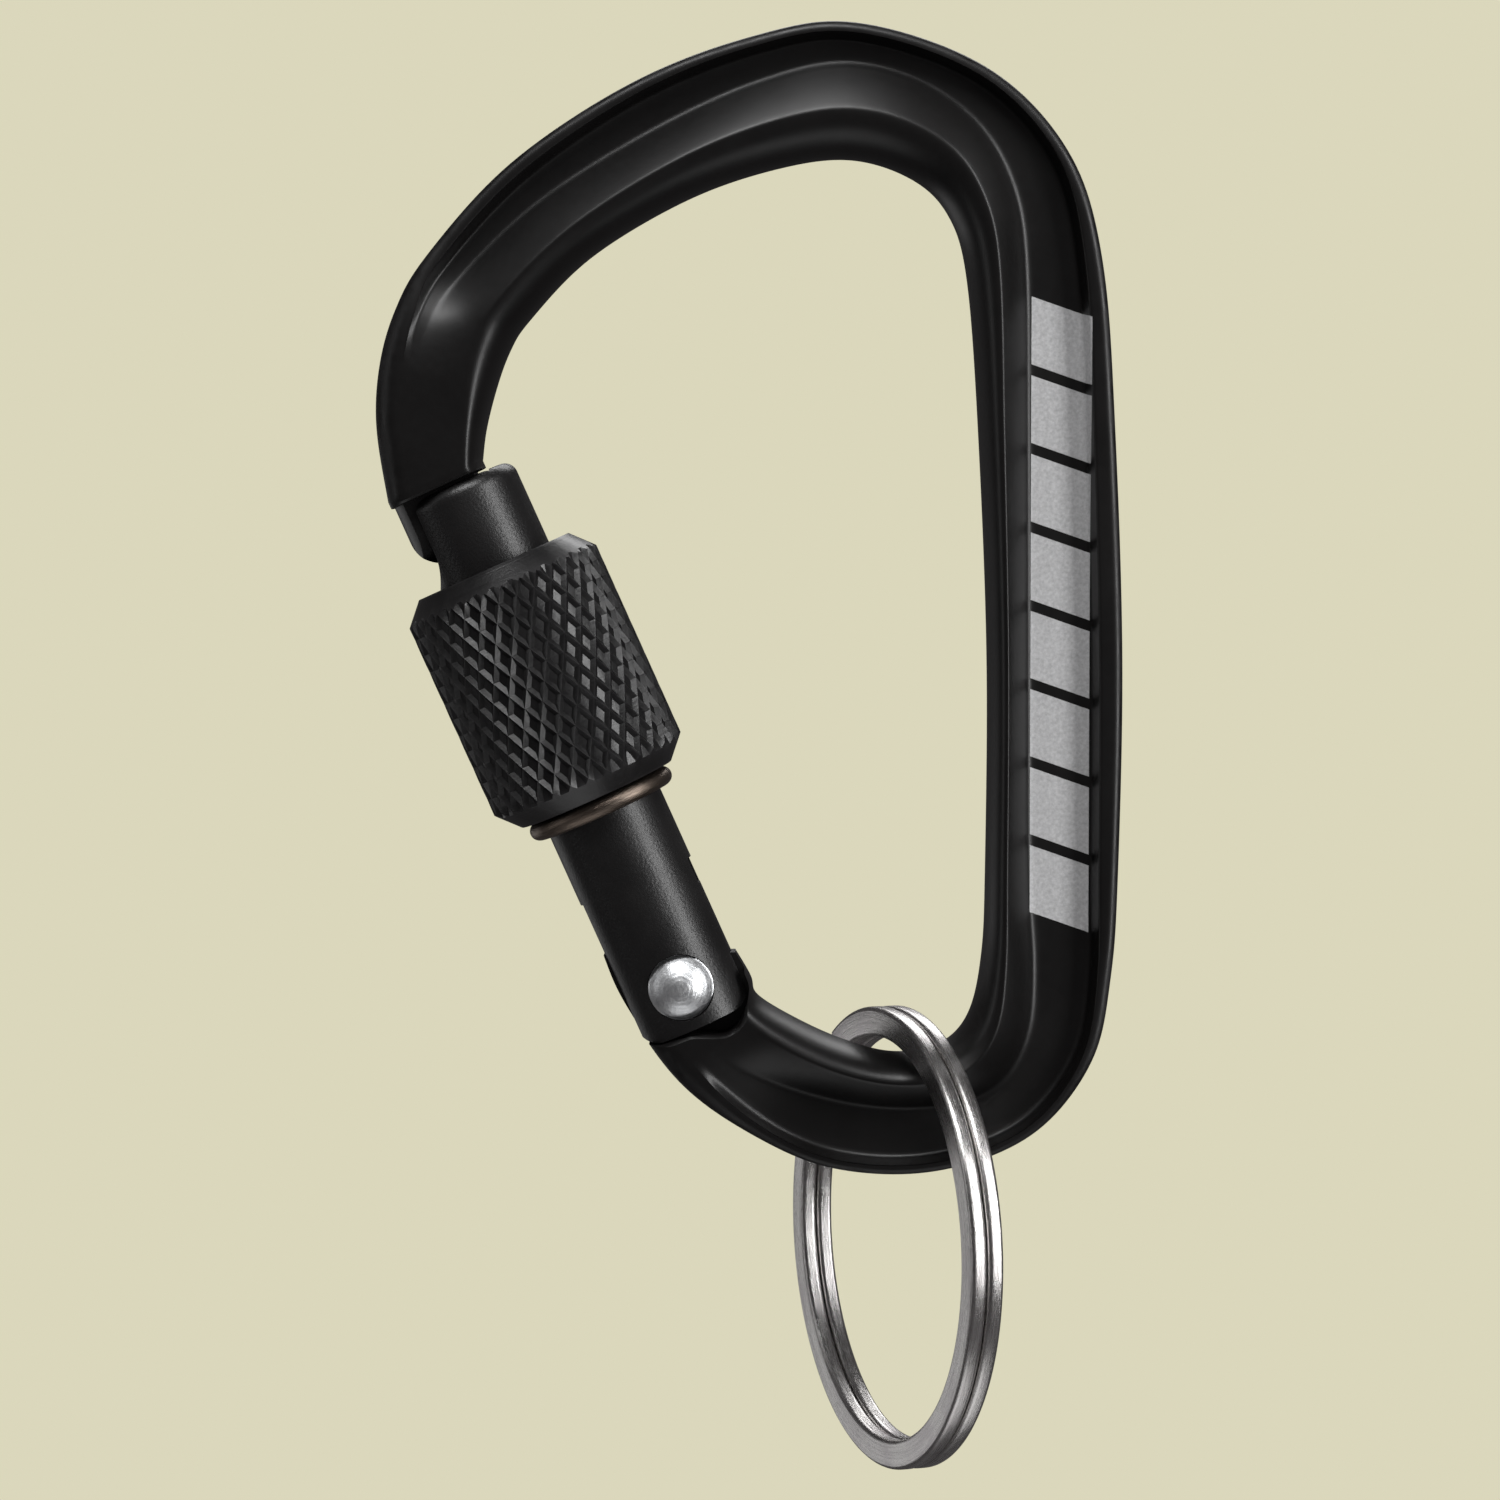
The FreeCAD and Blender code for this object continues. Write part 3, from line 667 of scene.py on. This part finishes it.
def sleeve_rows():
    """The rows of one sector: each is a list of radius, level and wear at its columns."""
    columns = range(knurl_steps + 1)
    cone = chamfer_length / (sleeve_radius - face_radius)

    def plain(radius, level, wear=0.0):
        return [(radius, level, wear) for _ in columns]

    rows = [plain(bore_radius, sleeve_low + 0.15), plain(bore_radius + 0.15, sleeve_low)]
    rows += [plain(face_radius - 0.06, sleeve_low, 0.5), plain(face_radius, sleeve_low + 0.05, 1.0)]
    rows.append(plain(face_radius + 0.08, sleeve_low + 0.05 + 0.08 * cone, 0.2))
    for j in range(knurl_rows + 1):
        level = knurl_low + (knurl_high - knurl_low) * j / knurl_rows
        row = []
        for k in columns:
            near = min(knurl_distance(k, j))
            depth = knurl_depth * min(1.0, near / 2)
            end = {0: -1, knurl_rows: 1}.get(j, 0)
            wear = 1.0 if near == 0 or end else 0.0
            row.append((sleeve_radius - depth, level + end * depth * cone, wear))
        rows.append(row)
    rows.append(plain(face_radius + 0.08, sleeve_top - 0.05 - 0.08 * cone, 0.2))
    rows += [plain(face_radius, sleeve_top - 0.05, 1.0), plain(face_radius - 0.06, sleeve_top, 0.5)]
    rows += [plain(bore_radius + 0.15, sleeve_top), plain(bore_radius, sleeve_top - 0.15)]
    return rows


def sleeve_sector():
    """One pitch of the sleeve's circumference, all round its section, open at both sides."""
    rows = sleeve_rows()
    first_knurl = 5
    width = knurl_steps + 1
    points, wear, faces = [], [], []
    for row in rows:
        for k, (radius, level, worn) in enumerate(row):
            angle = 2 * math.pi * k / (knurl_starts * knurl_steps)
            points.append((radius * math.cos(angle), radius * math.sin(angle), level))
            wear.append(worn)
    for i in range(len(rows)):
        for k in range(knurl_steps):
            a, b = i * width + k, (i + 1) % len(rows) * width + k
            j = i - first_knurl
            if not 0 <= j < knurl_rows:
                faces.append((a, a + 1, b + 1, b))
                continue
            one, other = knurl_distance(k + 0.5, j + 0.5)
            if one < other:
                faces += [(a, a + 1, b), (a + 1, b + 1, b)]
            else:
                faces += [(a, a + 1, b + 1), (a, b + 1, b)]
    mesh = bpy.data.meshes.new("sector")
    mesh.from_pydata(points, [], faces)
    values = mesh.attributes.new("wear", "FLOAT", "POINT")
    values.data.foreach_set("value", wear)
    return piece_from("sleeve_ring", mesh)


class Growth:
    """A Geometry Nodes tree with named inputs, and short ways to build it."""

    def __init__(self, name, inputs):
        self.tree = bpy.data.node_groups.new(name, "GeometryNodeTree")
        sockets = self.tree.interface
        sockets.new_socket("Geometry", in_out="INPUT", socket_type="NodeSocketGeometry")
        self.names = {}
        for label, kind in inputs.items():
            made = sockets.new_socket(label, in_out="INPUT", socket_type="NodeSocket" + kind)
            self.names[label] = made.identifier
        sockets.new_socket("Geometry", in_out="OUTPUT", socket_type="NodeSocketGeometry")
        self.given = self.tree.nodes.new("NodeGroupInput").outputs

    def node(self, kind, settings, values, output=0):
        made = self.tree.nodes.new(kind)
        for name, value in settings.items():
            setattr(made, name, value)
        for name, value in values.items():
            if isinstance(value, bpy.types.NodeSocket):
                self.tree.links.new(value, made.inputs[name])
            else:
                made.inputs[name].default_value = value
        return made.outputs[output]

    def maths(self, operation, *values):
        return self.node("ShaderNodeMath", {"operation": operation}, dict(enumerate(values)))

    def finish(self, geometry):
        """Ends the tree: real geometry with its material on it."""
        real = self.node("GeometryNodeRealizeInstances", {}, {"Geometry": geometry})
        painted = self.node("GeometryNodeSetMaterial", {},
                            {"Geometry": real, "Material": self.given["Material"]})
        end = self.tree.nodes.new("NodeGroupOutput")
        self.tree.links.new(painted, end.inputs[0])

    def grow(self, piece, **values):
        """Runs the tree on a piece and leaves it as a plain mesh."""
        grown = piece.modifiers.new("growth", "NODES")
        grown.node_group = self.tree
        for label, value in values.items():
            grown[self.names[label.replace("_", " ")]] = value
        return plain_mesh(piece)


def ring_of_sectors():
    """Repeats a sector about the upright axis, and welds the sectors into one ring."""
    tree = Growth("ring_of_sectors", {"Sectors": "Int", "Weld": "Float", "Material": "Material"})
    points = tree.node("GeometryNodePoints", {}, {"Count": tree.given["Sectors"]})
    step = tree.maths("DIVIDE", 2 * math.pi, tree.given["Sectors"])
    index = tree.node("GeometryNodeInputIndex", {}, {})
    turn = tree.node("ShaderNodeCombineXYZ", {}, {"Z": tree.maths("MULTIPLY", index, step)})
    copies = tree.node("GeometryNodeInstanceOnPoints", {},
                       {"Points": points, "Instance": tree.given["Geometry"], "Rotation": turn})
    real = tree.node("GeometryNodeRealizeInstances", {}, {"Geometry": copies})
    welded = tree.node("GeometryNodeMergeByDistance", {},
                       {"Geometry": real, "Distance": tree.given["Weld"]})
    tree.finish(welded)
    return tree


def knurled_black():
    """Matt dye, rubbed a little lighter on the lands and along the turned edges."""
    look = Finish("black_sleeve", **{"IOR": 1.62, "Metallic": 0.0})
    spot = look.place(from_gate_space)
    fine = look.grain(spot, 5.0, 3.0, 0.6, 1.5)
    cloud = look.grain(spot, 0.7, 3.0, 0.6, 1.6)
    turned = look.grain(look.node("Mapping", {}, {"Vector": spot, "Scale": (0.02, 0.02, 9.0)})
                        .outputs[0], 1.6, 2.0, 0.5, 2.0)
    worn = look.attribute("wear").power(3.0) * (0.35 + 0.65 * cloud)
    body = look.blend(cloud, (0.0030, 0.0028, 0.0030, 1), (0.0062, 0.0058, 0.0060, 1))
    colour = look.blend(worn * 0.30, body, (0.060, 0.058, 0.060, 1))
    rough = 0.25 + 0.08 * cloud + 0.06 * fine + 0.08 * turned
    relief = look.bump(fine, 0.000007)
    relief = look.bump(turned, 0.000004, relief)
    return look.set(Base_Color=colour, Roughness=rough, Normal=relief)


sleeve_finish = knurled_black()
sleeve = ring_of_sectors().grow(sleeve_sector(), Sectors=knurl_starts, Weld=0.002,
                                Material=sleeve_finish)


def screw_ridge():
    """The sleeve's inner ridge: a helix of small trapezium sections, sunk in the wall."""
    root, crest = bore_radius + 0.15, gate_radius + 0.08
    rings, steps, turns = [], 64, 3
    for i in range(steps * turns + 1):
        angle = 2 * math.pi * i / steps
        level = thread_low + thread_lead / 2 + thread_lead * i / steps
        out = Vector((math.cos(angle), math.sin(angle), 0))
        rings.append([out * radius + Vector((0, 0, level + half)) for radius, half in
                      ((root, -0.5), (crest, -0.12), (crest, 0.12), (root, 0.5))])
    return skin("tool", rings)


def joined(piece, other):
    """Adds another closed shell to a piece's mesh."""
    shape = bmesh.new()
    shape.from_mesh(piece.data)
    shape.from_mesh(other.data)
    shape.to_mesh(piece.data)
    shape.free()
    bpy.data.objects.remove(other)
    return piece


joined(sleeve, screw_ridge())
finished(sleeve, gate_space, "sleeve", "locking_sleeve", sleeve_finish, sharp=15)

# ---------------------------------------------------------------- stop ring and key ring
# The stop ring is a round snap wire in the gate's groove. The key ring is a flat spring
# wire, wound twice with its turns side by side. Both were drawn, so fine lines run along
# them; the key ring's wire has rounded corners, which leave a groove between its turns.


def wound_wire():
    """A wire of rounded section, wound about the upright axis and swapping sides once."""
    tree = Growth("wound_wire", {
        "Sections": "Int", "Start": "Float", "Sweep": "Float", "Radius": "Float",
        "Side step": "Float", "Crossover": "Float", "Width": "Float", "Height": "Float",
        "Corner": "Float", "Material": "Material"})
    given = tree.given
    line = tree.node("GeometryNodeMeshLine", {}, {"Count": given["Sections"]})
    path = tree.node("GeometryNodeMeshToCurve", {}, {"Mesh": line})
    index = tree.node("GeometryNodeInputIndex", {}, {})
    share = tree.maths("DIVIDE", index, tree.maths("SUBTRACT", given["Sections"], 1.0))
    angle = tree.maths("MULTIPLY_ADD", share, given["Sweep"], given["Start"])
    early = tree.maths("SUBTRACT", 2 * math.pi, given["Crossover"])
    late = tree.maths("ADD", 2 * math.pi, given["Crossover"])
    aside = tree.node("ShaderNodeMapRange", {"interpolation_type": "SMOOTHSTEP"}, {
        "Value": angle, "From Min": early, "From Max": late, "To Min": given["Side step"],
        "To Max": tree.maths("MULTIPLY", given["Side step"], -1.0)})
    spot = tree.node("ShaderNodeCombineXYZ", {}, {
        "X": tree.maths("MULTIPLY", given["Radius"], tree.maths("SINE", angle)),
        "Y": tree.maths("MULTIPLY", given["Radius"], tree.maths("COSINE", angle)), "Z": aside})
    path = tree.node("GeometryNodeSetPosition", {}, {"Geometry": path, "Position": spot})
    path = tree.node("GeometryNodeSetCurveNormal", {"mode": "Z_UP"}, {"Curve": path})
    section = tree.node("GeometryNodeCurvePrimitiveQuadrilateral", {},
                        {"Width": given["Width"], "Height": given["Height"]})
    section = tree.node("GeometryNodeFilletCurve", {"mode": "POLY"},
                        {"Curve": section, "Count": 6, "Radius": given["Corner"]})
    along = tree.node("GeometryNodeStoreNamedAttribute", {"data_type": "FLOAT"},
                      {"Geometry": path, "Name": "along",
                       "Value": tree.maths("MULTIPLY", angle, given["Radius"])})
    round_share = tree.node("GeometryNodeSplineParameter", {}, {})
    around = tree.node("GeometryNodeStoreNamedAttribute", {"data_type": "FLOAT"},
                       {"Geometry": section, "Name": "around", "Value": round_share})
    solid = tree.node("GeometryNodeCurveToMesh", {},
                      {"Curve": along, "Profile Curve": around, "Fill Caps": True})
    tree.finish(solid)
    return tree


def drawn_wire(name, dark, light, rough, scratch, tint=(0.0, 0.0, 0.0, 1)):
    """Bare drawn wire: streaks and fine scratches run along it, a few marks cross it."""
    look = Finish(name, **{"Metallic": 1.0})
    along, around = look.attribute("along"), look.attribute("around")
    turn = around * (2 * math.pi)
    lanes = look.node("CombineXYZ", {}, {
        "X": along * 0.10, "Y": turn.maths("COSINE", turn) * 3.0,
        "Z": turn.maths("SINE", turn) * 3.0}).outputs[0]
    streak = look.grain(lanes, 5.0, 5.0, 0.65, 2.0)
    wide = look.grain(lanes, 1.3, 2.0, 0.5, 1.6)
    spot = look.place()
    cloud = look.grain(spot, 260.0, 3.0, 0.6, 2.0)
    nick = look.grain(spot, 1900.0, 2.0, 0.5, 2.5)
    colour = look.blend(wide * 0.6 + streak * 0.4, dark, light)
    colour = look.blend((cloud - 0.45) * 0.8, colour, tint)
    relief = look.bump(streak, scratch)
    relief = look.bump(nick, scratch * 0.5, relief)
    return look.set(Base_Color=colour, Roughness=rough + 0.12 * streak + 0.08 * (cloud - 0.5),
                    Normal=relief)


wire_tree = wound_wire()
stop_finish = drawn_wire("stop_wire", (0.11, 0.085, 0.070, 1), (0.33, 0.27, 0.22, 1), 0.30,
                         0.000010, (0.15, 0.105, 0.080, 1))
gap = math.radians(24)      # between the stop ring's two ends
stop = wire_tree.grow(piece_from("stop_wire_ring", bpy.data.meshes.new("blank")),
                      Sections=121, Start=gap / 2, Sweep=2 * math.pi - gap, Radius=stop_radius,
                      Side_step=0.0, Crossover=0.5, Width=2 * stop_wire, Height=2 * stop_wire,
                      Corner=stop_wire - 0.001,
                      Material=stop_finish)
finished(stop, gate_space @ Matrix.Translation((0, 0, stop_level)), "turning_ring", "stop_ring",
         stop_finish, sharp=40)

ring_finish = drawn_wire("ring_steel", (0.42, 0.405, 0.40, 1), (0.86, 0.84, 0.82, 1), 0.21,
                         0.000007, (0.52, 0.46, 0.50, 1))
ring_low, ring_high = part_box("key_ring")
end_angle = math.radians(18.5)
crossover_half = math.radians(17.5)
crossover_place = math.radians(51)
ring_turn = math.radians(68.5)
ring_outer = 12.49
wire_width, wire_height = 1.6, 0.88
coil_gap = 0.08
key_ring = wire_tree.grow(piece_from("split_ring", bpy.data.meshes.new("blank")),
                          Sections=361, Start=end_angle, Sweep=4 * math.pi - 2 * end_angle,
                          Radius=ring_outer - wire_width / 2,
                          Side_step=(wire_height + coil_gap) / 2,
                          Crossover=crossover_half, Width=wire_width, Height=wire_height,
                          Corner=0.26, Material=ring_finish)
ring_place = (Matrix.Translation((ring_low + ring_high) / 2)
              @ Matrix.Rotation(-ring_turn, 4, "Z")
              @ Matrix.Rotation(-crossover_place, 4, "Y")
              @ Matrix.Rotation(math.radians(90), 4, "X") @ Matrix.Scale(MM, 4))
finished(key_ring, ring_place, "key_ring", "key_ring", ring_finish, sharp=40)

# -------------------------------------------------------------- floor, light and camera
# A pale sweep that shows its own even colour and casts no shadow, softboxes above and to
# the right, weak ones on the left, below and behind for the bare steel, and a long lens a
# little above the middle of the carabiner.
aim = Vector((-0.005385, 0, -0.03159))
pale = (0.708, 0.680, 0.503, 1)


def sweep_ring(radius, height, points=96):
    return [Vector((radius * math.cos(2 * math.pi * k / points),
                    radius * math.sin(2 * math.pi * k / points), height)) for k in range(points)]


def pale_floor():
    look = Finish("pale_floor", **{"Roughness": 0.9, "Specular IOR Level": 0.0,
                                   "Emission Strength": 1.0})
    return look.set(Base_Color=(0.0, 0.0, 0.0, 1), Emission_Color=pale)


floor_level = cad_low.z - 0.02
profile = [(0.002, floor_level), (0.9, floor_level)]
profile += [(0.9 + r, floor_level + 0.4 + z) for r, z in arc(0, 0, 0.4, -90, 0, 12)]
profile += [(1.3, 1.4)]
floor = skin("floor", [sweep_ring(radius, height) for radius, height in profile])
floor.data.materials.append(pale_floor())
floor.visible_glossy = False
floor.visible_diffuse = False
floor.visible_shadow = False


def softbox(name, place, width, height, power, target=aim):
    light = bpy.data.lights.new(name, "AREA")
    light.shape = "RECTANGLE"
    light.size, light.size_y = width, height
    light.energy = power
    lamp = bpy.data.objects.new(name, light)
    lamp.location = place
    lamp.rotation_mode = "QUATERNION"
    lamp.rotation_quaternion = (target - Vector(place)).to_track_quat("-Z", "Y")
    bpy.context.scene.collection.objects.link(lamp)
    return lamp


softbox("top_softbox", (-0.06, -0.26, 0.38), 0.30, 0.18, 1.5)
softbox("right_softbox", (0.36, -0.26, 0.06), 0.12, 0.45, 1.5)
softbox("left_softbox", (-0.42, -0.10, 0.02), 0.10, 0.40, 0.12)
softbox("low_softbox", (0.02, -0.10, -0.44), 0.40, 0.30, 0.30)
softbox("back_left_softbox", (-0.40, 0.40, -0.20), 0.30, 0.22, 0.11)
softbox("back_softbox", (0.05, 0.42, 0.30), 0.40, 0.20, 0.8)

world = bpy.data.worlds.new("studio")
bpy.context.scene.world = world
world.use_nodes = True
world.node_tree.nodes["Background"].inputs["Color"].default_value = (0.060, 0.057, 0.058, 1)
bpy.context.scene.view_settings.view_transform = "Standard"

distance = 0.26
raised = math.radians(3.5)
seen_width = 80.77544 * MM  # of the plane through the middle of the carabiner
lens = bpy.data.cameras.new("camera")
lens.sensor_width = 36.0
lens.lens = lens.sensor_width * distance / seen_width
lens.clip_start = 0.01
camera = bpy.data.objects.new("camera", lens)
camera.location = aim + distance * Vector((0, -math.cos(raised), math.sin(raised)))
camera.rotation_euler = (math.radians(90) - raised, 0, 0)
bpy.context.scene.collection.objects.link(camera)
bpy.context.scene.camera = camera
